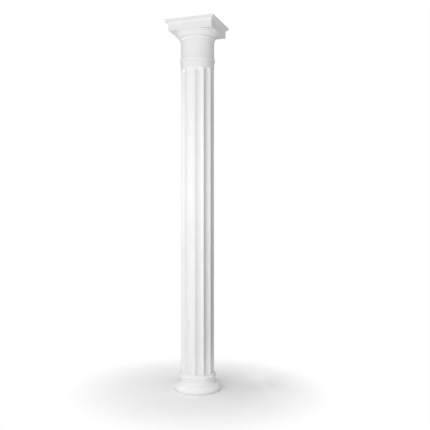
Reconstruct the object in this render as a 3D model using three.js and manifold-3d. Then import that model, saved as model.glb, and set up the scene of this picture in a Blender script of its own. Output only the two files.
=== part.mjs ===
// Doric column in three hollow mouldings that stand on one another: a round base, a fluted shaft
// and a capital with a square abacus. Millimetres, +Z up, origin at the centre of the underside.

import * as THREE from 'three';
import { mergeVertices } from 'three/addons/utils/BufferGeometryUtils.js';
import Module from 'manifold-3d';

const wasm = await Module();
wasm.setup();

// Common to the three pieces
const boreDiameter = 165; // straight hole from end to end, for the post or pipe inside
const seamGap = 0.3; // hairline left where one piece stands on the next
const rimEase = 2; // bevel on the two rims of the bore in the base and the capital

// Shaft
const shaftDiameter = 220;
const shaftLength = 2035;
const shaftTurn = -3.6; // degrees that the flutes stand off the faces of the abacus
const fluteCount = 12;
const fluteDepth = 11.5;
const landWidth = 4; // flat strip between two flutes
const plainBand = 44; // unfluted band above the round flute tops

// Base, from the ground up
const lowerRollDiameter = 309;
const lowerRollHeight = 47;
const lipDiameter = 278; // lip at the foot of the hollow
const lipHeight = 3;
const hollowHeight = 25;
const waistDiameter = 220; // narrowest place of the hollow
const baseFilletDiameter = 228;
const baseFilletHeight = 9.5;
const upperRollDiameter = 248;
const upperRollHeight = 26;
const seatHeight = 2.5; // low step that the shaft stands on

// Capital, from the shaft up
const collarDiameter = 229;
const collarHeight = 21.5;
const collarEase = 4; // bevel on the two outer edges of the collar
const neckHeight = 121.5;
const beadDiameter = 233;
const beadHeight = 14.5;
const grooveHeight = 1.5;
const echinusFootDiameter = 228;
const echinusDiameter = 268;
const echinusHeight = 24;
const ringDrop = 5.5; // thin ring under the abacus
const ringInset = 1; // the ring stays this far inside the faces of the abacus
const abacusBlockWidth = 295;
const abacusBlockHeight = 43;
const abacusTopWidth = 328;
const flareHeight = 12.5; // hollow moulding from the block out to the top edge
const abacusEdgeHeight = 16;

// Fineness of the round forms
const turnSegments = 48;
const shaftSegments = 120;
const fluteSegments = 40;
const arcDivisions = 4;
const cutMargin = 5; // how far a cutting solid runs past the face that it cuts

const shaftRadius = shaftDiameter / 2;
const boreRadius = boreDiameter / 2;
const rightAngle = Math.PI / 2;

const paint = { color: 0xf1f1ef, roughness: 0.55, metalness: 0 };

/** Triangles of an index that still have three different corners after vertices were merged. */
function wholeTriangles(index) {
  const kept = [];
  for (let start = 0; start < index.length; start += 3) {
    const corners = index.slice(start, start + 3);
    if (new Set(corners).size === 3) kept.push(...corners);
  }
  return new Uint32Array(kept);
}

/** Closed solid made by turning an outline of radius and height about the Z axis. */
function turned(outline, segments, firstAngle = 0) {
  const geometry = new THREE.LatheGeometry(outline, segments, firstAngle);
  geometry.rotateX(rightAngle);
  geometry.deleteAttribute('normal');
  geometry.deleteAttribute('uv');
  const merged = mergeVertices(geometry);
  const mesh = new wasm.Mesh({
    numProp: 3,
    vertProperties: merged.attributes.position.array,
    triVerts: wholeTriangles(merged.index.array),
  });
  return new wasm.Manifold(mesh);
}

/** Mesh of a finished solid, with flat faces. */
function piece(name, solid) {
  const { vertProperties, triVerts } = solid.getMesh();
  const geometry = new THREE.BufferGeometry();
  geometry.setAttribute('position', new THREE.BufferAttribute(new Float32Array(vertProperties), 3));
  geometry.setIndex(new THREE.BufferAttribute(new Uint32Array(triVerts), 1));
  geometry.computeVertexNormals();
  const mesh = new THREE.Mesh(geometry, new THREE.MeshStandardMaterial(paint));
  mesh.name = name;
  return mesh;
}

/** Outline of a straight rod that starts below the ground plane and ends at the given height. */
function rodOutline(radius, top) {
  const outline = new THREE.Path();
  outline.moveTo(0, -cutMargin);
  outline.lineTo(radius, -cutMargin);
  outline.lineTo(radius, top);
  outline.lineTo(0, top);
  return outline.getPoints();
}

/** Solid that cuts the bore through a piece of the given height and eases its two rims. */
function boreCutter(height) {
  const flare = boreRadius + rimEase + cutMargin;
  const outline = new THREE.Path();
  outline.moveTo(0, -cutMargin);
  outline.lineTo(flare, -cutMargin);
  outline.lineTo(boreRadius, rimEase);
  outline.lineTo(boreRadius, height - rimEase);
  outline.lineTo(flare, height + cutMargin);
  outline.lineTo(0, height + cutMargin);
  return turned(outline.getPoints(), turnSegments);
}

/** Round base: lower roll, hollow, fillet and upper roll, with the seat of the shaft on top. */
function makeBase() {
  const lipRadius = lipDiameter / 2;
  const waistRadius = waistDiameter / 2;
  const filletRadius = baseFilletDiameter / 2;
  const hollowFoot = lowerRollHeight + lipHeight;
  const filletFoot = hollowFoot + hollowHeight;
  const upperRollFoot = filletFoot + baseFilletHeight;
  const seatFoot = upperRollFoot + upperRollHeight;
  const height = seatFoot + seatHeight;
  const lowerBulge = lowerRollDiameter / 2 - lipRadius;
  const upperBulge = upperRollDiameter / 2 - shaftRadius;

  const outline = new THREE.Path();
  outline.moveTo(0, 0);
  outline.lineTo(lipRadius, 0);
  outline.absellipse(
    lipRadius, lowerRollHeight / 2, lowerBulge, lowerRollHeight / 2, -rightAngle, rightAngle, false);
  outline.lineTo(lipRadius, hollowFoot);
  outline.absellipse(
    lipRadius, filletFoot, lipRadius - waistRadius, hollowHeight, -rightAngle, -Math.PI, true);
  outline.lineTo(filletRadius, filletFoot);
  outline.lineTo(filletRadius, upperRollFoot);
  outline.absellipse(
    shaftRadius, upperRollFoot + upperRollHeight / 2, upperBulge, upperRollHeight / 2,
    -rightAngle, rightAngle, false);
  outline.lineTo(shaftRadius, height);
  outline.lineTo(0, height);

  const body = turned(outline.getPoints(arcDivisions), turnSegments);
  const mesh = piece('base', body.subtract(boreCutter(height)));
  return { mesh, height };
}

/** Solid that cuts one flute: a rod with a ball end, standing beside the shaft on the +X side. */
function fluteCutter() {
  const halfAngle = Math.PI / fluteCount - landWidth / shaftDiameter;
  const halfChord = shaftRadius * Math.sin(halfAngle);
  const sagitta = fluteDepth - shaftRadius * (1 - Math.cos(halfAngle));
  const radius = (halfChord ** 2 + sagitta ** 2) / (2 * sagitta);
  const topRise = Math.sqrt(radius ** 2 - (radius - fluteDepth) ** 2);
  const ballCentre = shaftLength - plainBand - topRise;

  const outline = new THREE.Path();
  outline.moveTo(0, -cutMargin);
  outline.lineTo(radius, -cutMargin);
  outline.absarc(0, ballCentre, radius, 0, rightAngle, false);
  const rod = turned(outline.getPoints(arcDivisions), fluteSegments);
  return rod.translate([shaftRadius - fluteDepth + radius, 0, 0]);
}

/** Fluted shaft, open through its whole length; the flutes run out through its lower end. */
function makeShaft() {
  const blank = turned(rodOutline(shaftRadius, shaftLength), shaftSegments);
  const bore = turned(rodOutline(boreRadius, shaftLength + cutMargin), turnSegments);
  const belowGround = turned(rodOutline(shaftRadius + cutMargin, 0), turnSegments);
  const cutter = fluteCutter();
  const step = 360 / fluteCount;
  let shaft = blank.subtract(belowGround).subtract(bore);
  for (let index = 0; index < fluteCount; index += 1) {
    const turn = shaftTurn + index * step;
    shaft = shaft.subtract(cutter.rotate([0, 0, turn]));
  }
  return piece('shaft', shaft);
}

/** Round lower part of the capital, carried up inside the abacus block. */
function capitalRound(soffit) {
  const collarRadius = collarDiameter / 2;
  const beadFoot = collarHeight + neckHeight;
  const grooveFoot = beadFoot + beadHeight;
  const echinusFoot = grooveFoot + grooveHeight;
  const echinusTop = echinusFoot + echinusHeight;
  const footRadius = echinusFootDiameter / 2;
  const beadBulge = beadDiameter / 2 - shaftRadius;
  const ringRadius = abacusBlockWidth / 2 - ringInset;

  const outline = new THREE.Path();
  outline.moveTo(0, 0);
  outline.lineTo(collarRadius - collarEase, 0);
  outline.lineTo(collarRadius, collarEase);
  outline.lineTo(collarRadius, collarHeight - collarEase);
  outline.lineTo(collarRadius - collarEase, collarHeight);
  outline.lineTo(shaftRadius, collarHeight);
  outline.absellipse(
    shaftRadius, beadFoot + beadHeight / 2, beadBulge, beadHeight / 2, -rightAngle, rightAngle, false);
  outline.lineTo(shaftRadius, echinusFoot);
  outline.absellipse(
    footRadius, echinusTop, echinusDiameter / 2 - footRadius, echinusHeight, -rightAngle, 0, false);
  outline.lineTo(ringRadius, echinusTop);
  outline.lineTo(ringRadius, soffit + abacusBlockHeight / 2);
  outline.lineTo(0, soffit + abacusBlockHeight / 2);
  return turned(outline.getPoints(arcDivisions), turnSegments);
}

/** Square abacus: a plain block, a hollow flare and a straight edge, mitred at the four corners. */
function abacus(soffit) {
  const cornerFactor = Math.SQRT2;
  const blockHalf = abacusBlockWidth / 2;
  const topHalf = abacusTopWidth / 2;
  const flareFoot = soffit + abacusBlockHeight;
  const edgeFoot = flareFoot + flareHeight;
  const top = edgeFoot + abacusEdgeHeight;

  const outline = new THREE.Path();
  outline.moveTo(0, soffit);
  outline.lineTo(blockHalf, soffit);
  outline.absellipse(
    topHalf, flareFoot, topHalf - blockHalf, flareHeight, Math.PI, rightAngle, true);
  outline.lineTo(topHalf, top);
  outline.lineTo(0, top);
  const toCorner = ({ x, y }) => new THREE.Vector2(x * cornerFactor, y);
  const corners = outline.getPoints(arcDivisions).map(toCorner);
  return turned(corners, 4, Math.PI / 4);
}

/** Capital: collar, neck, bead and echinus under the square abacus, open through its middle. */
function makeCapital() {
  const soffit = collarHeight + neckHeight + beadHeight + grooveHeight + echinusHeight + ringDrop;
  const height = soffit + abacusBlockHeight + flareHeight + abacusEdgeHeight;
  const body = capitalRound(soffit).add(abacus(soffit));
  return piece('capital', body.subtract(boreCutter(height)));
}

const column = new THREE.Group();
const base = makeBase();
column.add(base.mesh);

const shaft = makeShaft();
shaft.position.z = base.height + seamGap;
column.add(shaft);

const capital = makeCapital();
capital.position.z = shaft.position.z + shaftLength + seamGap;
column.add(capital);

export default column;
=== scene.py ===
"""Looks of a doric column in three hollow white mouldings: base, fluted shaft and capital.

Metres, +Z up, origin at the centre of the underside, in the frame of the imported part.
"""

import logging
import math
from dataclasses import dataclass, field
from enum import IntEnum

import bmesh
import bpy
from bmesh.types import BMesh, BMEdge, BMVert
from mathutils import Matrix, Vector


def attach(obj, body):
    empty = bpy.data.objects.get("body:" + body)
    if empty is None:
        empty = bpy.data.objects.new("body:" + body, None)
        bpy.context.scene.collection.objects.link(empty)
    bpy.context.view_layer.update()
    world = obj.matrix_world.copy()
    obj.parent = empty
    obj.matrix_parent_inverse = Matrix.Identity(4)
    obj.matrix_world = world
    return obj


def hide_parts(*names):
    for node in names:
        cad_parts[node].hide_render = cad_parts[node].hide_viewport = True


LOG = logging.getLogger("doric_column")
BODY = "root"
SEAM_GAP = 0.0003  # hairline between two pieces
MERGE = 1e-5  # vertices closer than this are one
ANGLE_GRAIN = 1e-6  # angles closer than this share one radius of the flutes
CREASE = 38.0  # degrees from which an edge is shaded sharp
LEVEL = 0.9999  # least upward share of the normal of a level face
UPRIGHT = 0.99999  # least share along X or Y of the normal of a flat side

Colour = tuple[float, float, float]


class Surface(IntEnum):
    """Finish that a face takes, by its place in the list of materials of a piece."""

    COAT = 0
    # Raw foam of the bore: darker than the coat partly because it is uncoated, partly as painted shade inside
    # the bore.
    FOAM_AND_BORE_SHADE = 1


# Node groups and finishes


@dataclass
class Bench:
    """A node tree on the bench, with short ways to place its nodes and wire them."""

    tree: bpy.types.NodeTree

    def add(self, kind: str, settings: dict | None = None, values: dict | None = None) -> bpy.types.Node:
        """Places a node.

        Args:
            kind: Blender's name for the type of node.
            settings: Properties of the node, by name.
            values: Values of its inputs, by name or number.

        Returns:
            The new node.
        """
        node = self.tree.nodes.new(kind)
        for name, setting in (settings or {}).items():
            setattr(node, name, setting)
        for name, value in (values or {}).items():
            node.inputs[name].default_value = value
        return node

    def wire(self, source: bpy.types.NodeSocket, target: bpy.types.NodeSocket) -> None:
        """Joins an output to an input."""
        self.tree.links.new(source, target)

    def maths(self, operation: str, first: object, second: object = 0.0) -> bpy.types.NodeSocket:
        """Places a Math node.

        Args:
            operation: Name of the sum that it does.
            first: Socket or number for its first input.
            second: Socket or number for its second input.

        Returns:
            The output of the node.
        """
        node = self.add("ShaderNodeMath", {"operation": operation})
        for place, source in enumerate((first, second)):
            if isinstance(source, bpy.types.NodeSocket):
                self.wire(source, node.inputs[place])
            else:
                node.inputs[place].default_value = source
        return node.outputs["Value"]

    def spread(self, source: bpy.types.NodeSocket, lows: tuple[float, float],
               highs: tuple[float, float]) -> bpy.types.NodeSocket:
        """Stretches a value from one range to another and clips it there.

        Args:
            source: Socket with the value.
            lows: Lowest value before and after.
            highs: Highest value before and after.

        Returns:
            The output with the stretched value.
        """
        node = self.add("ShaderNodeMapRange", {"clamp": True}, {
            "From Min": lows[0], "To Min": lows[1], "From Max": highs[0], "To Max": highs[1]})
        self.wire(source, node.inputs["Value"])
        return node.outputs["Result"]

    def blend(self, factor: bpy.types.NodeSocket, low: object, high: object) -> bpy.types.NodeSocket:
        """Mixes two colours.

        Args:
            factor: Socket with the share of the second colour.
            low: First colour, as a socket or four numbers.
            high: Second colour, as a socket or four numbers.

        Returns:
            The output with the mixed colour.
        """
        node = self.add("ShaderNodeMix", {"data_type": "RGBA"})
        self.wire(factor, node.inputs["Factor"])
        for socket, source in ((node.inputs[6], low), (node.inputs[7], high)):
            if isinstance(source, bpy.types.NodeSocket):
                self.wire(source, socket)
            else:
                socket.default_value = source
        return node.outputs[2]


@dataclass
class EffectGroup:
    """A shader node group on the bench, with named inputs and outputs."""

    name: str
    inputs: dict[str, tuple[str, object]]
    outputs: dict[str, str]
    bench: Bench = field(init=False)
    source: bpy.types.Node = field(init=False)
    sink: bpy.types.Node = field(init=False)

    def __post_init__(self) -> None:
        """Makes the empty group and its sockets."""
        tree = bpy.data.node_groups.new(self.name, "ShaderNodeTree")
        for name, (kind, value) in self.inputs.items():
            socket = tree.interface.new_socket(name, in_out="INPUT", socket_type=kind)
            if value is not None:
                socket.default_value = value
        for name, kind in self.outputs.items():
            tree.interface.new_socket(name, in_out="OUTPUT", socket_type=kind)
        self.bench = Bench(tree)
        self.source = self.bench.add("NodeGroupInput")
        self.sink = self.bench.add("NodeGroupOutput")

    def noise(self, scale: object, detail: float, roughness: float = 0.5) -> bpy.types.NodeSocket:
        """Places a noise on the group's Vector input.

        Args:
            scale: Socket or number for its fineness, in patches for each metre.
            detail: How many finer layers it has.
            roughness: Weight of the finer layers.

        Returns:
            The output with the noise, from 0 to 1.
        """
        node = self.bench.add("ShaderNodeTexNoise", None, {"Detail": detail, "Roughness": roughness})
        self.bench.wire(self.source.outputs["Vector"], node.inputs["Vector"])
        if isinstance(scale, bpy.types.NodeSocket):
            self.bench.wire(scale, node.inputs["Scale"])
        else:
            node.inputs["Scale"].default_value = scale
        return node.outputs["Fac"]


FLOAT = "NodeSocketFloat"
COLOUR = "NodeSocketColor"
VECTOR = "NodeSocketVector"


def make_tooth() -> bpy.types.NodeTree:
    """Fine relief of a surface: rolling waves of the paint with a smaller grain over them.

    Returns:
        The node group, whose Height runs from 0 to 1.
    """
    group = EffectGroup(
        "surface_tooth",
        {"Vector": (VECTOR, None), "Wave Scale": (FLOAT, 260.0), "Grain Scale": (FLOAT, 1400.0),
         "Grain Share": (FLOAT, 0.35)},
        {"Height": FLOAT})
    bench, source = group.bench, group.source
    wave = group.noise(source.outputs["Wave Scale"], detail=1.0)
    grain = group.noise(source.outputs["Grain Scale"], detail=2.0)
    fine = bench.maths("MULTIPLY", grain, source.outputs["Grain Share"])
    rest = bench.maths("SUBTRACT", 1.0, source.outputs["Grain Share"])
    height = bench.maths("ADD", bench.maths("MULTIPLY", wave, rest), fine)
    bench.wire(height, group.sink.inputs["Height"])
    return bench.tree


def make_cloud() -> bpy.types.NodeTree:
    """Faint clouds of tone where the coat lies thicker and thinner.

    Returns:
        The node group, with the mixed Colour and the Mask of the second colour.
    """
    group = EffectGroup(
        "cloudy_tone",
        {"Vector": (VECTOR, None), "Patch Scale": (FLOAT, 7.0), "Thick Colour": (COLOUR, None),
         "Thin Colour": (COLOUR, None)},
        {"Colour": COLOUR, "Mask": FLOAT})
    bench, source = group.bench, group.source
    noise = group.noise(source.outputs["Patch Scale"], detail=3.0, roughness=0.55)
    mask = bench.spread(noise, lows=(0.36, 0.0), highs=(0.66, 1.0))
    colour = bench.blend(mask, source.outputs["Thick Colour"], source.outputs["Thin Colour"])
    bench.wire(colour, group.sink.inputs["Colour"])
    bench.wire(mask, group.sink.inputs["Mask"])
    return bench.tree


def make_dust() -> bpy.types.NodeTree:
    """Dust that settles in thin patches on faces that look up.

    Returns:
        The node group, whose Mask is 1 where the dust lies thickest.
    """
    group = EffectGroup(
        "settled_dust", {"Vector": (VECTOR, None), "Amount": (FLOAT, 0.5)}, {"Mask": FLOAT})
    bench = group.bench
    normal = bench.add("ShaderNodeTexCoord").outputs["Normal"]
    split = bench.add("ShaderNodeSeparateXYZ")
    bench.wire(normal, split.inputs["Vector"])
    facing_up = bench.spread(split.outputs["Z"], lows=(0.25, 0.0), highs=(0.95, 1.0))
    noise = group.noise(scale=38.0, detail=5.0, roughness=0.62)
    patches = bench.spread(noise, lows=(0.38, 0.15), highs=(0.68, 1.0))
    lying = bench.maths("MULTIPLY", facing_up, patches)
    bench.wire(bench.maths("MULTIPLY", lying, group.source.outputs["Amount"]), group.sink.inputs["Mask"])
    return bench.tree


def make_pinholes() -> bpy.types.NodeTree:
    """Small round pits left by bubbles in the moulded foam.

    Returns:
        The node group, whose Depth is 1 at the bottom of a pit and 0 between them.
    """
    group = EffectGroup(
        "pinholes",
        {"Vector": (VECTOR, None), "Pit Scale": (FLOAT, 120.0), "Pit Width": (FLOAT, 0.1),
         "Share": (FLOAT, 0.1)},
        {"Depth": FLOAT})
    bench, source = group.bench, group.source
    cells = bench.add("ShaderNodeTexVoronoi")
    bench.wire(source.outputs["Vector"], cells.inputs["Vector"])
    bench.wire(source.outputs["Pit Scale"], cells.inputs["Scale"])
    width = bench.add("ShaderNodeMapRange", {"clamp": True}, {"From Min": 0.0, "To Min": 1.0, "To Max": 0.0})
    bench.wire(cells.outputs["Distance"], width.inputs["Value"])
    bench.wire(source.outputs["Pit Width"], width.inputs["From Max"])
    chosen = bench.add("ShaderNodeSeparateColor")
    bench.wire(cells.outputs["Color"], chosen.inputs["Color"])
    has_pit = bench.maths("LESS_THAN", chosen.outputs["Red"], source.outputs["Share"])
    depth = bench.maths("MULTIPLY", width.outputs["Result"], has_pit)
    bench.wire(depth, group.sink.inputs["Depth"])
    return bench.tree


@dataclass(frozen=True)
class Effects:
    """The node groups that the finishes share."""

    tooth: bpy.types.NodeTree
    cloud: bpy.types.NodeTree
    dust: bpy.types.NodeTree
    pinholes: bpy.types.NodeTree

    @classmethod
    def make(cls) -> "Effects":
        """Builds each group once."""
        return cls(make_tooth(), make_cloud(), make_dust(), make_pinholes())


@dataclass(frozen=True)
class Finish:
    """A dry, matt surface of moulded foam, coated or raw; the raw one's darker colours are partly painted
    shade of the bore.
    """

    name: str
    thick_colour: Colour
    thin_colour: Colour
    dust_colour: Colour
    patch_scale: float
    dust_amount: float
    low_roughness: float
    high_roughness: float
    wave_scale: float
    grain_scale: float
    grain_share: float
    relief: float
    pit_scale: float
    pit_width: float
    pit_share: float
    pit_weight: float
    gloss: float

    def make(self, effects: Effects) -> bpy.types.Material:
        """Builds the material.

        Args:
            effects: The shared node groups.

        Returns:
            The finished material.
        """
        material = bpy.data.materials.new(self.name)
        material.use_nodes = True
        bench = Bench(material.node_tree)
        shader = bench.tree.nodes["Principled BSDF"]
        shader.inputs["Specular IOR Level"].default_value = self.gloss
        place = bench.add("ShaderNodeTexCoord").outputs["Object"]

        cloud = self._group(bench, effects.cloud, place, {
            "Patch Scale": self.patch_scale, "Thick Colour": (*self.thick_colour, 1.0),
            "Thin Colour": (*self.thin_colour, 1.0)})
        dust = self._group(bench, effects.dust, place, {"Amount": self.dust_amount})
        tooth = self._group(bench, effects.tooth, place, {
            "Wave Scale": self.wave_scale, "Grain Scale": self.grain_scale,
            "Grain Share": self.grain_share})
        pits = self._group(bench, effects.pinholes, place, {
            "Pit Scale": self.pit_scale, "Pit Width": self.pit_width, "Share": self.pit_share})

        colour = bench.blend(dust.outputs["Mask"], cloud.outputs["Colour"], (*self.dust_colour, 1.0))
        bench.wire(colour, shader.inputs["Base Color"])

        dulling = bench.maths("MAXIMUM", cloud.outputs["Mask"], dust.outputs["Mask"])
        roughness = bench.spread(dulling, (0.0, self.low_roughness), (1.0, self.high_roughness))
        bench.wire(roughness, shader.inputs["Roughness"])

        pit = bench.maths("MULTIPLY", pits.outputs["Depth"], self.pit_weight)
        height = bench.maths("SUBTRACT", tooth.outputs["Height"], pit)
        bump = bench.add("ShaderNodeBump", None, {"Strength": 1.0, "Distance": self.relief})
        bench.wire(height, bump.inputs["Height"])
        bench.wire(bump.outputs["Normal"], shader.inputs["Normal"])
        return material

    @staticmethod
    def _group(bench: Bench, tree: bpy.types.NodeTree, place: bpy.types.NodeSocket,
               values: dict) -> bpy.types.Node:
        """Places a shared group in the material.

        Args:
            bench: The material's node tree.
            tree: The shared group.
            place: Socket with the place on the piece.
            values: Values of the group's other inputs, by name.

        Returns:
            The group's node.
        """
        node = bench.add("ShaderNodeGroup", {"node_tree": tree}, values)
        bench.wire(place, node.inputs["Vector"])
        return node


PRIMED_COAT = Finish(
    name="matt_white_primer",
    thick_colour=(0.885, 0.885, 0.882), thin_colour=(0.865, 0.865, 0.860), dust_colour=(0.80, 0.795, 0.78),
    patch_scale=6.5, dust_amount=0.22, low_roughness=0.5, high_roughness=0.62,
    wave_scale=240.0, grain_scale=1300.0, grain_share=0.3, relief=0.00012,
    pit_scale=90.0, pit_width=0.09, pit_share=0.05, pit_weight=1.6, gloss=0.4)

# Raw foam of the bore, uncoated; its darker colours are partly painted shade inside the bore.
RAW_FOAM_AND_BORE_SHADE = Finish(
    name="raw_foam_and_painted_bore_shade",
    thick_colour=(0.80, 0.795, 0.775), thin_colour=(0.70, 0.69, 0.66), dust_colour=(0.66, 0.65, 0.62),
    patch_scale=11.0, dust_amount=0.35, low_roughness=0.78, high_roughness=0.92,
    wave_scale=170.0, grain_scale=900.0, grain_share=0.5, relief=0.0006,
    pit_scale=210.0, pit_width=0.34, pit_share=0.42, pit_weight=1.1, gloss=0.2)


# Shapes


@dataclass
class Outline:
    """Half section of a turned piece, as points of radius and height."""

    points: list[tuple[float, float]] = field(default_factory=list)

    def to(self, radius: float, height: float) -> "Outline":
        """Goes straight to a point."""
        self.points.append((radius, height))
        return self

    def sweep(self, centre: tuple[float, float], reach: tuple[float, float], start: float, end: float,
              steps: int = 24) -> "Outline":
        """Follows part of an ellipse.

        Args:
            centre: Radius and height of its centre.
            reach: Half of its width and of its height.
            start: Angle of the first point, in degrees.
            end: Angle of the last point, in degrees.
            steps: How many straight stretches it has.

        Returns:
            This outline.
        """
        for step in range(steps + 1):
            angle = math.radians(start + (end - start) * step / steps)
            self.to(centre[0] + reach[0] * math.cos(angle), centre[1] + reach[1] * math.sin(angle))
        return self

    def turn(self, steps: int, closed: bool) -> BMesh:
        """Spins the outline once round the Z axis.

        Args:
            steps: Segments of the full turn.
            closed: Whether the last point is joined to the first.

        Returns:
            The turned shape.
        """
        shape = bmesh.new()
        corners = [shape.verts.new((radius, 0.0, height)) for radius, height in self.points]
        pairs = list(zip(corners, corners[1:]))
        if closed:
            pairs.append((corners[-1], corners[0]))
        edges = [shape.edges.new(pair) for pair in pairs]
        bmesh.ops.spin(
            shape, geom=corners + edges, cent=(0.0, 0.0, 0.0), axis=(0.0, 0.0, 1.0),
            angle=math.tau, steps=steps, use_merge=True)
        return shape


@dataclass
class Moulding:
    """One hollow moulding of the column, between two levels on the column's axis."""

    node: str
    foot: float = 0.0
    bore_radius: float = 0.0825
    bore_margin: float = 0.0001
    turn_steps: int = 192
    eased_from: float = 60.0

    def settle(self, shape: BMesh, square: bool = False) -> bpy.types.Object:
        """Finishes a mesh and makes the piece from it.

        Args:
            shape: The closed shape, from its own foot at height 0.
            square: Whether upright faces square to X and Y are flat.

        Returns:
            The piece, standing at its place on the axis.
        """
        bmesh.ops.remove_doubles(shape, verts=shape.verts, dist=MERGE)
        bmesh.ops.translate(shape, vec=(0.0, 0.0, self.foot), verts=shape.verts)
        bmesh.ops.recalc_face_normals(shape, faces=shape.faces)
        for face in shape.faces:
            normal = face.normal
            level = abs(normal.z) > LEVEL
            upright = square and max(abs(normal.x), abs(normal.y)) > UPRIGHT
            face.smooth = not (level or upright)
            # Faces inside the bore take the darker raw-foam finish, which is partly painted shade of the
            # bore.
            inside = all(vert.co.xy.length < self.bore_radius + self.bore_margin for vert in face.verts)
            face.material_index = Surface.FOAM_AND_BORE_SHADE if inside else Surface.COAT
        for edge in shape.edges:
            edge.smooth = edge.calc_face_angle(0.0) < math.radians(CREASE)
        mesh = bpy.data.meshes.new(f"{self.node}_moulding")
        shape.to_mesh(mesh)
        shape.free()
        piece = bpy.data.objects.new(mesh.name, mesh)
        bpy.context.scene.collection.objects.link(piece)
        return piece

    def dress(self, piece: bpy.types.Object, finishes: dict[Surface, bpy.types.Material]) -> None:
        """Gives the piece its finishes and puts it in the place of its CAD node.

        Args:
            piece: The finished piece.
            finishes: Material of each surface.
        """
        for surface in Surface:
            piece.data.materials.append(finishes[surface])
        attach(piece, BODY)
        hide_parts(self.node)


def corner_edges(shape: BMesh, least: float) -> list[BMEdge]:
    """Finds the outward corners of a shape.

    Args:
        shape: The shape, with its normals outward.
        least: Smallest turn between the two faces, in degrees.

    Returns:
        The edges where its surface turns outward by at least that much.
    """
    limit = math.radians(least)
    return [edge for edge in shape.edges if edge.is_convex and edge.calc_face_angle(0.0) > limit]


def ease(shape: BMesh, edges: list[BMEdge], width: float, segments: int = 3) -> None:
    """Rounds edges over.

    Args:
        shape: The shape that they are on.
        edges: The edges.
        width: How far the rounding reaches over each face.
        segments: Number of faces across the rounding.
    """
    bmesh.ops.bevel(
        shape, geom=edges, offset=width, offset_type="OFFSET", segments=segments, profile=0.5,
        affect="EDGES", clamp_overlap=True, material=-1)


def extruded(shape: BMesh, edges: list[BMEdge]) -> tuple[list[BMEdge], list[BMVert]]:
    """Extrudes a ring of open edges in place.

    Args:
        shape: The shape that the ring ends.
        edges: The ring.

    Returns:
        Edges and vertices of the new ring.
    """
    made = bmesh.ops.extrude_edge_only(shape, edges=edges)["geom"]
    return ([item for item in made if isinstance(item, BMEdge) and item.is_boundary],
            [item for item in made if isinstance(item, BMVert)])


@dataclass
class ColumnBase(Moulding):
    """Round base: lower roll, lip, hollow, fillet, upper roll and the seat of the shaft."""

    node: str = "base"
    rim_ease: float = 0.002
    lower_roll_radius: float = 0.1545
    lower_roll_height: float = 0.047
    lip_radius: float = 0.139
    lip_height: float = 0.003
    hollow_height: float = 0.025
    waist_radius: float = 0.110
    fillet_radius: float = 0.114
    fillet_height: float = 0.0095
    upper_roll_radius: float = 0.124
    upper_roll_height: float = 0.026
    seat_radius: float = 0.110
    seat_height: float = 0.0025
    edge_ease: float = 0.0008

    @property
    def height(self) -> float:
        """Height of the whole base."""
        return (self.lower_roll_height + self.lip_height + self.hollow_height + self.fillet_height
                + self.upper_roll_height + self.seat_height)

    def outline(self) -> Outline:
        """Half section, from the foot of the bore round the outside and back down the bore.

        Returns:
            The closed outline.
        """
        hollow_foot = self.lower_roll_height + self.lip_height
        fillet_foot = hollow_foot + self.hollow_height
        roll_foot = fillet_foot + self.fillet_height
        roll_middle = roll_foot + self.upper_roll_height / 2
        bulge = self.upper_roll_radius - self.seat_radius
        meeting = -math.degrees(math.acos((self.fillet_radius - self.seat_radius) / bulge))
        return (
            Outline()
            .to(self.bore_radius, self.rim_ease)
            .to(self.bore_radius + self.rim_ease, 0.0)
            .sweep((self.lip_radius, self.lower_roll_height / 2),
                   (self.lower_roll_radius - self.lip_radius, self.lower_roll_height / 2), -90, 90, steps=40)
            .to(self.lip_radius, hollow_foot)
            .sweep((self.lip_radius, fillet_foot),
                   (self.lip_radius - self.waist_radius, self.hollow_height), -90, -180, steps=28)
            .to(self.fillet_radius, fillet_foot)
            .sweep((self.seat_radius, roll_middle), (bulge, self.upper_roll_height / 2),
                   meeting, 90, steps=32)
            .to(self.seat_radius, self.height)
            .to(self.bore_radius + self.rim_ease, self.height)
            .to(self.bore_radius, self.height - self.rim_ease))

    def build(self) -> bpy.types.Object:
        """Turns the base and eases its sharp corners.

        Returns:
            The finished piece.
        """
        shape = self.outline().turn(self.turn_steps, closed=True)
        bmesh.ops.remove_doubles(shape, verts=shape.verts, dist=MERGE)
        bmesh.ops.recalc_face_normals(shape, faces=shape.faces)
        ease(shape, corner_edges(shape, self.eased_from), self.edge_ease)
        return self.settle(shape)


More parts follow.
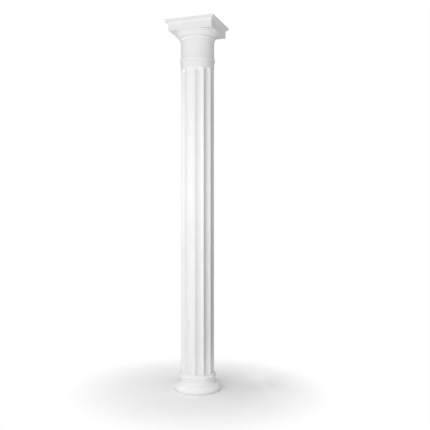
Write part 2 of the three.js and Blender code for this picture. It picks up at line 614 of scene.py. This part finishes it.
@dataclass
class FlutedShaft(Moulding):
    """Straight shaft with round-topped flutes that run out through its lower end."""

    node: str = "shaft"
    eased_from: float = 70.0
    radius: float = 0.110
    length: float = 2.035
    turn: float = -3.6
    flute_count: int = 12
    flute_depth: float = 0.0115
    land_width: float = 0.004
    plain_band: float = 0.044
    arris_ease: float = 0.0022
    end_ease: float = 0.001
    columns_each: int = 32
    crowding: float = 0.8
    long_rows: int = 30
    crown_row: float = 0.0007
    crown_margin: float = 0.004
    halvings: int = 20
    rod_radius: float = field(init=False)
    rod_distance: float = field(init=False)
    ball_height: float = field(init=False)

    def __post_init__(self) -> None:
        """Works out the rod with a ball end that would cut one flute."""
        half = math.pi / self.flute_count - self.land_width / (2 * self.radius)
        half_chord = self.radius * math.sin(half)
        sagitta = self.flute_depth - self.radius * (1 - math.cos(half))
        self.rod_radius = (half_chord ** 2 + sagitta ** 2) / (2 * sagitta)
        self.rod_distance = self.radius - self.flute_depth + self.rod_radius
        rise = math.sqrt(self.rod_radius ** 2 - (self.rod_radius - self.flute_depth) ** 2)
        self.ball_height = self.length - self.plain_band - rise

    @property
    def height(self) -> float:
        """Height of the whole shaft."""
        return self.length

    def cover(self, radius: float, angle: float, height: float) -> float:
        """How far a point lies outside the fluted skin.

        Args:
            radius: Its distance from the axis.
            angle: Its angle from the middle of the nearest flute, in radians.
            height: Its height over the foot of the shaft.

        Returns:
            Its distance, below zero inside the wall, with the arrises rounded over.
        """
        beyond_round = radius - self.radius
        across = radius * math.sin(angle)
        out = radius * math.cos(angle) - self.rod_distance
        up = max(0.0, height - self.ball_height)
        beyond_flute = self.rod_radius - math.sqrt(across ** 2 + out ** 2 + up ** 2)
        near = max(self.arris_ease - abs(beyond_round - beyond_flute), 0.0) / self.arris_ease
        return max(beyond_round, beyond_flute) + near ** 2 * self.arris_ease / 4

    def skin(self, angle: float, height: float) -> float:
        """Radius of the fluted skin.

        Args:
            angle: Angle from the middle of the nearest flute, in radians.
            height: Height over the foot of the shaft.

        Returns:
            The distance from the axis at which the skin is met.
        """
        low, high = self.radius - self.flute_depth - self.arris_ease, self.radius
        for _ in range(self.halvings):
            middle = (low + high) / 2
            if self.cover(middle, angle, height) > 0:
                high = middle
            else:
                low = middle
        return low

    def from_flute(self, vert: BMVert) -> float:
        """Finds where a vertex lies on its flute.

        Args:
            vert: The vertex.

        Returns:
            Its angle from the middle of the nearest flute, in radians.
        """
        step = math.tau / self.flute_count
        angle = math.atan2(vert.co.y, vert.co.x) - math.radians(self.turn)
        return angle - step * round(angle / step)

    def crowd(self, verts: list[BMVert]) -> None:
        """Moves the vertices of a ring along it, closer together at the arrises.

        Args:
            verts: The vertices of the ring.
        """
        step = math.tau / self.flute_count
        for vert in verts:
            offset = self.from_flute(vert)
            shift = self.crowding * step * math.sin(math.tau * offset / step) / math.tau
            vert.co.xy = Matrix.Rotation(shift, 2) @ vert.co.xy

    def fit_ring(self, verts: list[BMVert], height: float) -> None:
        """Sets the vertices of a ring on the skin.

        Args:
            verts: The vertices of the ring.
            height: Height over the foot of the shaft.
        """
        known: dict[int, float] = {}
        for vert in verts:
            angle = abs(self.from_flute(vert))
            key = round(angle / ANGLE_GRAIN)
            if key not in known:
                known[key] = self.skin(angle, height)
            vert.co.xy *= known[key] / vert.co.xy.length
            vert.co.z = height

    def levels(self) -> list[float]:
        """Heights of the rings of vertices, from the foot to the top.

        Returns:
            Wide rows up the plain flutes and fine rows round their crowns.
        """
        crown_foot = self.ball_height - 2 * self.crown_row
        crown_top = self.length - self.plain_band + self.crown_margin
        rows = math.ceil((crown_top - crown_foot) / self.crown_row)
        plain = [crown_foot * row / self.long_rows for row in range(self.long_rows)]
        crown = [crown_foot + (crown_top - crown_foot) * row / rows for row in range(rows + 1)]
        return [*plain, *crown, (crown_top + self.length) / 2, self.length]

    def build(self) -> bpy.types.Object:
        """Raises the fluted skin ring by ring and closes it over the bore.

        Returns:
            The finished piece.
        """
        shape = bmesh.new()
        ring = bmesh.ops.create_circle(
            shape, cap_ends=False, radius=self.radius, segments=self.flute_count * self.columns_each)["verts"]
        bmesh.ops.rotate(shape, verts=ring, matrix=Matrix.Rotation(math.radians(self.turn), 3, "Z"))
        self.crowd(ring)
        levels = self.levels()
        self.fit_ring(ring, levels[0])
        edges = list(shape.edges)
        for height in levels[1:]:
            edges, verts = extruded(shape, edges)
            self.fit_ring(verts, height)
        for height in (self.length, 0.0):
            edges, verts = extruded(shape, edges)
            for vert in verts:
                vert.co.xy *= self.bore_radius / vert.co.xy.length
                vert.co.z = height
        _, verts = extruded(shape, edges)
        self.fit_ring(verts, 0.0)
        bmesh.ops.remove_doubles(shape, verts=shape.verts, dist=MERGE)
        bmesh.ops.recalc_face_normals(shape, faces=shape.faces)
        ease(shape, corner_edges(shape, self.eased_from), self.end_ease, segments=2)
        return self.settle(shape)


@dataclass
class Capital(Moulding):
    """Capital: collar, neck, bead and echinus, turned, under a square abacus with a hollow flare."""

    node: str = "capital"
    rim_ease: float = 0.002
    neck_radius: float = 0.110
    collar_radius: float = 0.1145
    collar_height: float = 0.0215
    collar_ease: float = 0.004
    neck_height: float = 0.1215
    bead_radius: float = 0.1165
    bead_height: float = 0.0145
    groove_height: float = 0.0015
    groove_radius: float = 0.1126
    echinus_foot_radius: float = 0.114
    echinus_radius: float = 0.134
    echinus_height: float = 0.024
    ring_drop: float = 0.0055
    ring_inset: float = 0.001
    block_half: float = 0.1475
    block_height: float = 0.043
    top_half: float = 0.164
    flare_height: float = 0.0125
    edge_height: float = 0.016
    flare_steps: int = 14
    fine_ease: float = 0.0006
    edge_ease: float = 0.0012

    @property
    def soffit(self) -> float:
        """Height of the underside of the abacus over the foot of the capital."""
        return (self.collar_height + self.neck_height + self.bead_height + self.groove_height
                + self.echinus_height + self.ring_drop)

    @property
    def height(self) -> float:
        """Height of the whole capital."""
        return self.soffit + self.block_height + self.flare_height + self.edge_height

    def outline(self) -> Outline:
        """Half section of the round part, from the top of the bore down and up to the soffit.

        Returns:
            The open outline.
        """
        ease_radius = self.collar_radius - self.collar_ease
        bead_foot = self.collar_height + self.neck_height
        echinus_foot = bead_foot + self.bead_height + self.groove_height
        echinus_top = echinus_foot + self.echinus_height
        ring_radius = self.block_half - self.ring_inset
        rounding = (self.collar_ease, self.collar_ease)
        groove_share = (self.groove_radius - self.neck_radius) / (self.bead_radius - self.neck_radius)
        groove_turn = math.degrees(math.acos(groove_share))
        return (
            Outline()
            .to(self.bore_radius + self.rim_ease, self.height)
            .to(self.bore_radius, self.height - self.rim_ease)
            .to(self.bore_radius, self.rim_ease)
            .to(self.bore_radius + self.rim_ease, 0.0)
            .sweep((ease_radius, self.collar_ease), rounding, -90, 0, steps=8)
            .sweep((ease_radius, self.collar_height - self.collar_ease), rounding, 0, 90, steps=8)
            .to(self.neck_radius, self.collar_height)
            .sweep((self.neck_radius, bead_foot + self.bead_height / 2),
                   (self.bead_radius - self.neck_radius, self.bead_height / 2), -90, groove_turn, steps=20)
            .to(self.groove_radius, echinus_foot)
            .sweep((self.echinus_foot_radius, echinus_top),
                   (self.echinus_radius - self.echinus_foot_radius, self.echinus_height), -90, 0, steps=24)
            .to(ring_radius, echinus_top)
            .to(ring_radius, self.soffit))

    def levels(self) -> list[tuple[float, float]]:
        """Works out the loops of the abacus over its lowest one.

        Returns:
            Half width and height of each loop of the hollow flare and of the straight edge.
        """
        flare_foot = self.soffit + self.block_height
        flare = Outline().sweep(
            (self.top_half, flare_foot), (self.top_half - self.block_half, self.flare_height), 180, 90,
            self.flare_steps)
        return [*flare.points, (self.top_half, self.height)]

    @staticmethod
    def to_square(verts: list[BMVert], half: float) -> None:
        """Moves an even ring of vertices outward onto a square.

        Args:
            verts: The vertices, evenly spaced on a circle round the axis.
            half: Half of the square's width.
        """
        quarter = math.pi / 2
        for vert in verts:
            angle = math.atan2(vert.co.y, vert.co.x)
            side = quarter * round(angle / quarter)
            along = 2 * (angle - side) / quarter
            vert.co.xy = Matrix.Rotation(side, 2) @ Vector((half, half * along))

    def build(self) -> bpy.types.Object:
        """Carries the turned part on into the square abacus and eases the corners.

        Returns:
            The finished piece.
        """
        shape = self.outline().turn(self.turn_steps, closed=False)
        bmesh.ops.remove_doubles(shape, verts=shape.verts, dist=MERGE)
        open_edges = [edge for edge in shape.edges if edge.is_boundary]
        middle = (self.soffit + self.height) / 2
        ring = [edge for edge in open_edges if edge.verts[0].co.z < middle]
        bore_top = [edge for edge in open_edges if edge.verts[0].co.z > middle]

        edges, verts = extruded(shape, ring)
        self.to_square(verts, self.block_half)
        half, level = self.block_half, self.soffit
        for next_half, next_level in self.levels():
            edges, verts = extruded(shape, edges)
            scale = next_half / half
            bmesh.ops.scale(shape, verts=verts, vec=(scale, scale, 1.0))
            bmesh.ops.translate(shape, verts=verts, vec=(0.0, 0.0, next_level - level))
            half, level = next_half, next_level
        _, verts = extruded(shape, bore_top)
        self.to_square(verts, self.top_half)
        bmesh.ops.remove_doubles(shape, verts=shape.verts, dist=MERGE)
        bmesh.ops.recalc_face_normals(shape, faces=shape.faces)

        upper = self.soffit + self.block_height / 2
        ease(shape, self.mitres_and_rims(shape, upper, math.inf), self.edge_ease)
        ease(shape, self.mitres_and_rims(shape, 0.0, upper), self.fine_ease)
        return self.settle(shape, square=True)

    def mitres_and_rims(self, shape: BMesh, low: float, high: float) -> list[BMEdge]:
        """Outward corners of the capital between two heights."""
        return [edge for edge in corner_edges(shape, self.eased_from)
                if low < (edge.verts[0].co.z + edge.verts[1].co.z) / 2 < high]


# Studio


@dataclass(frozen=True)
class StudioFinish:
    """Matt paper or cloth with a faint mottle."""

    name: str
    low_tone: float
    high_tone: float
    mottle_scale: float
    mottle_detail: float
    roughness: float
    gloss: float

    def make(self) -> bpy.types.Material:
        """Builds the material.

        Returns:
            The finished material.
        """
        material = bpy.data.materials.new(self.name)
        material.use_nodes = True
        bench = Bench(material.node_tree)
        shader = bench.tree.nodes["Principled BSDF"]
        shader.inputs["Specular IOR Level"].default_value = self.gloss
        shader.inputs["Roughness"].default_value = self.roughness
        noise = bench.add(
            "ShaderNodeTexNoise", None, {"Scale": self.mottle_scale, "Detail": self.mottle_detail})
        bench.wire(bench.add("ShaderNodeTexCoord").outputs["Object"], noise.inputs["Vector"])
        low, high = ((tone, tone, tone, 1.0) for tone in (self.low_tone, self.high_tone))
        bench.wire(bench.blend(noise.outputs["Fac"], low, high), shader.inputs["Base Color"])
        return material


FLOOR_PAPER = StudioFinish(
    name="floor_paper", low_tone=0.93, high_tone=0.96, mottle_scale=3.0, mottle_detail=4.0,
    roughness=0.9, gloss=0.1)

CARD_CLOTH = StudioFinish(
    name="dark_cloth", low_tone=0.01, high_tone=0.03, mottle_scale=60.0, mottle_detail=3.0,
    roughness=0.95, gloss=0.05)


@dataclass(frozen=True)
class SoftBox:
    """A soft lamp, placed by its bearing from the camera's side and aimed at the column's axis."""

    name: str
    bearing: float
    distance: float
    height: float
    width: float
    tall: float
    power: float
    aim_height: float = 1.2
    spread: float = 180.0


@dataclass
class Studio:
    """Pale floor, soft lamps, a dark card beside the shaft, white surroundings and the camera."""

    camera_bearing: float = 20.25
    camera_distance: float = 3.949
    camera_height: float = 1.183
    lens: float = 50.04
    sensor_width: float = 36.0
    picture_width: int = 430
    shift_pixels: tuple[float, float] = (17.5, -5.5)
    floor_radius: float = 1.6
    floor_segments: int = 96
    floor_fade: tuple[float, float] = (0.16, 0.85)
    ambient: float = 0.445
    card_bearing: float = 100.0
    card_distance: float = 0.46
    card_width: float = 0.22
    card_levels: tuple[float, float] = (0.05, 2.12)
    lamps: tuple[SoftBox, ...] = (
        SoftBox("front_lamp", bearing=-31.0, distance=4.0, height=1.35, width=1.6, tall=1.8, power=60.0),
        SoftBox("left_lamp", bearing=-105.0, distance=4.0, height=1.2, width=1.6, tall=1.8, power=9.0),
        SoftBox("overhead_lamp", bearing=-90.0, distance=0.5, height=10.0, width=4.0,
                tall=4.0, power=165.0, aim_height=0.0),
        SoftBox("low_lamp", bearing=-30.0, distance=1.7, height=0.15, width=0.8,
                tall=0.8, power=0.9, aim_height=2.2, spread=80.0),
        SoftBox("capital_lamp", bearing=10.0, distance=1.7, height=0.15, width=0.8,
                tall=0.8, power=1.0, aim_height=2.3, spread=60.0),
        SoftBox("capital_side_lamp", bearing=68.0, distance=1.5, height=2.2, width=0.4,
                tall=0.4, power=0.055, aim_height=2.36, spread=30.0),
        SoftBox("base_top_lamp", bearing=-15.0, distance=0.8, height=1.3, width=0.4,
                tall=0.4, power=0.13, aim_height=0.05, spread=40.0),
        SoftBox("base_side_lamp", bearing=62.0, distance=1.5, height=0.5, width=0.3,
                tall=0.2, power=0.03, aim_height=0.04, spread=14.0),
        SoftBox("shaft_lamp", bearing=-8.0, distance=4.0, height=1.25, width=0.8,
                tall=1.6, power=0.8, aim_height=1.25, spread=30.0),
    )

    def spot(self, bearing: float, distance: float, height: float) -> Vector:
        """Point at a bearing from the camera's side of the column.

        Args:
            bearing: Angle to the right of the camera's direction, in degrees.
            distance: Distance from the column's axis.
            height: Height over the floor.

        Returns:
            The point.
        """
        angle = math.radians(self.camera_bearing + bearing)
        return Vector((distance * math.sin(angle), -distance * math.cos(angle), height))

    def place_camera(self) -> None:
        """Sets the camera level, at the height and bearing of the photograph."""
        data = bpy.data.cameras.new("camera")
        data.lens = self.lens
        data.sensor_width = self.sensor_width
        data.shift_x, data.shift_y = (pixels / self.picture_width for pixels in self.shift_pixels)
        camera = bpy.data.objects.new("camera", data)
        camera.location = self.spot(0.0, self.camera_distance, self.camera_height)
        camera.rotation_euler = (math.pi / 2, 0.0, math.radians(self.camera_bearing))
        bpy.context.scene.collection.objects.link(camera)
        bpy.context.scene.camera = camera

    def hang_lamps(self) -> None:
        """Hangs each soft lamp and aims it at the column."""
        for lamp in self.lamps:
            data = bpy.data.lights.new(lamp.name, "AREA")
            data.shape = "RECTANGLE"
            data.size, data.size_y = lamp.width, lamp.tall
            data.energy = lamp.power
            data.spread = math.radians(lamp.spread)
            light = bpy.data.objects.new(lamp.name, data)
            light.location = self.spot(lamp.bearing, lamp.distance, lamp.height)
            aim = Vector((0.0, 0.0, lamp.aim_height)) - light.location
            light.rotation_euler = aim.to_track_quat("-Z", "Y").to_euler()
            light.visible_camera = False
            bpy.context.scene.collection.objects.link(light)

    def surround(self) -> None:
        """Gives the room white walls to look at and a low even light."""
        world = bpy.data.worlds.new("white_room")
        world.use_nodes = True
        bench = Bench(world.node_tree)
        white = {"Color": (1.0, 1.0, 1.0, 1.0)}
        seen = bench.add("ShaderNodeBackground", None, {**white, "Strength": 1.0})
        lit = bench.add("ShaderNodeBackground", None, {**white, "Strength": self.ambient})
        path = bench.add("ShaderNodeLightPath")
        mix = bench.add("ShaderNodeMixShader")
        bench.wire(path.outputs["Is Camera Ray"], mix.inputs["Fac"])
        bench.wire(lit.outputs["Background"], mix.inputs[1])
        bench.wire(seen.outputs["Background"], mix.inputs[2])
        bench.wire(mix.outputs["Shader"], bench.tree.nodes["World Output"].inputs["Surface"])
        bpy.context.scene.world = world
        bpy.context.scene.view_settings.view_transform = "Standard"

    def fade_rim(self, material: bpy.types.Material) -> None:
        """Lets a material fade into the white room away from the column.

        Args:
            material: The floor's material.
        """
        bench = Bench(material.node_tree)
        length = bench.add("ShaderNodeVectorMath", {"operation": "LENGTH"})
        bench.wire(bench.add("ShaderNodeTexCoord").outputs["Object"], length.inputs[0])
        near, far = self.floor_fade
        fade = bench.spread(length.outputs["Value"], (near, 0.0), (far, 1.0))
        mix = bench.add("ShaderNodeMixShader")
        bench.wire(fade, mix.inputs["Fac"])
        bench.wire(bench.tree.nodes["Principled BSDF"].outputs["BSDF"], mix.inputs[1])
        bench.wire(bench.add("ShaderNodeBsdfTransparent").outputs["BSDF"], mix.inputs[2])
        bench.wire(mix.outputs["Shader"], bench.tree.nodes["Material Output"].inputs["Surface"])

    def lay_floor(self) -> None:
        """Lays a round pale floor that fades into the white room at its rim."""
        shape = bmesh.new()
        bmesh.ops.create_circle(
            shape, cap_ends=True, radius=self.floor_radius, segments=self.floor_segments)
        mesh = bpy.data.meshes.new("floor")
        shape.to_mesh(mesh)
        shape.free()
        floor = bpy.data.objects.new("floor", mesh)
        paper = FLOOR_PAPER.make()
        self.fade_rim(paper)
        floor.data.materials.append(paper)
        bpy.context.scene.collection.objects.link(floor)

    def stand_card(self) -> None:
        """Stands a dark card beside the shaft, out of the picture, to shade its right edge."""
        low, high = self.card_levels
        shape = bmesh.new()
        bmesh.ops.create_grid(shape, x_segments=1, y_segments=1, size=0.5)  # a metre each way
        bmesh.ops.scale(shape, verts=shape.verts, vec=(self.card_width, high - low, 1.0))
        bmesh.ops.rotate(shape, verts=shape.verts, matrix=Matrix.Rotation(math.pi / 2, 3, "X"))
        turn = math.radians(self.camera_bearing + self.card_bearing)
        bmesh.ops.rotate(shape, verts=shape.verts, matrix=Matrix.Rotation(turn, 3, "Z"))
        place = self.spot(self.card_bearing, self.card_distance, (low + high) / 2)
        bmesh.ops.translate(shape, verts=shape.verts, vec=place)
        mesh = bpy.data.meshes.new("shading_card")
        shape.to_mesh(mesh)
        shape.free()
        card = bpy.data.objects.new("shading_card", mesh)
        card.data.materials.append(CARD_CLOTH.make())
        card.visible_camera = False
        bpy.context.scene.collection.objects.link(card)

    def build(self) -> None:
        """Sets up the whole studio."""
        self.place_camera()
        self.hang_lamps()
        self.surround()
        self.lay_floor()
        self.stand_card()


def corners(box: tuple[Vector, Vector]) -> list[list[float]]:
    """Lowest and highest corner of a box as plain lists."""
    return [list(corner) for corner in box]


def main() -> None:
    """Builds the column piece by piece and sets the studio round it."""
    logging.basicConfig(level=logging.INFO, format="%(message)s")
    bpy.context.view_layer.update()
    effects = Effects.make()
    finishes = {Surface.COAT: PRIMED_COAT.make(effects), Surface.FOAM_AND_BORE_SHADE: RAW_FOAM_AND_BORE_SHADE.make(effects)}
    foot = 0.0
    for moulding in (ColumnBase(), FlutedShaft(), Capital()):
        moulding.foot = foot
        piece = moulding.build()
        moulding.dress(piece, finishes)
        LOG.info("%s: %d faces", piece.name, len(piece.data.polygons))
        foot += moulding.height + SEAM_GAP
    Studio().build()
    LOG.info("studio set")


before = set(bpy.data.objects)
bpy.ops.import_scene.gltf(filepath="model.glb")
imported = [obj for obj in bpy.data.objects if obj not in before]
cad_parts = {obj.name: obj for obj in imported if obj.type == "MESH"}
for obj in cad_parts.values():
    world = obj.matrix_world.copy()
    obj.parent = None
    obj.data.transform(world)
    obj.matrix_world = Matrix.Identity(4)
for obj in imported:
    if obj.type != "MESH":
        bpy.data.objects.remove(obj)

if __name__ == "__main__":
    main()
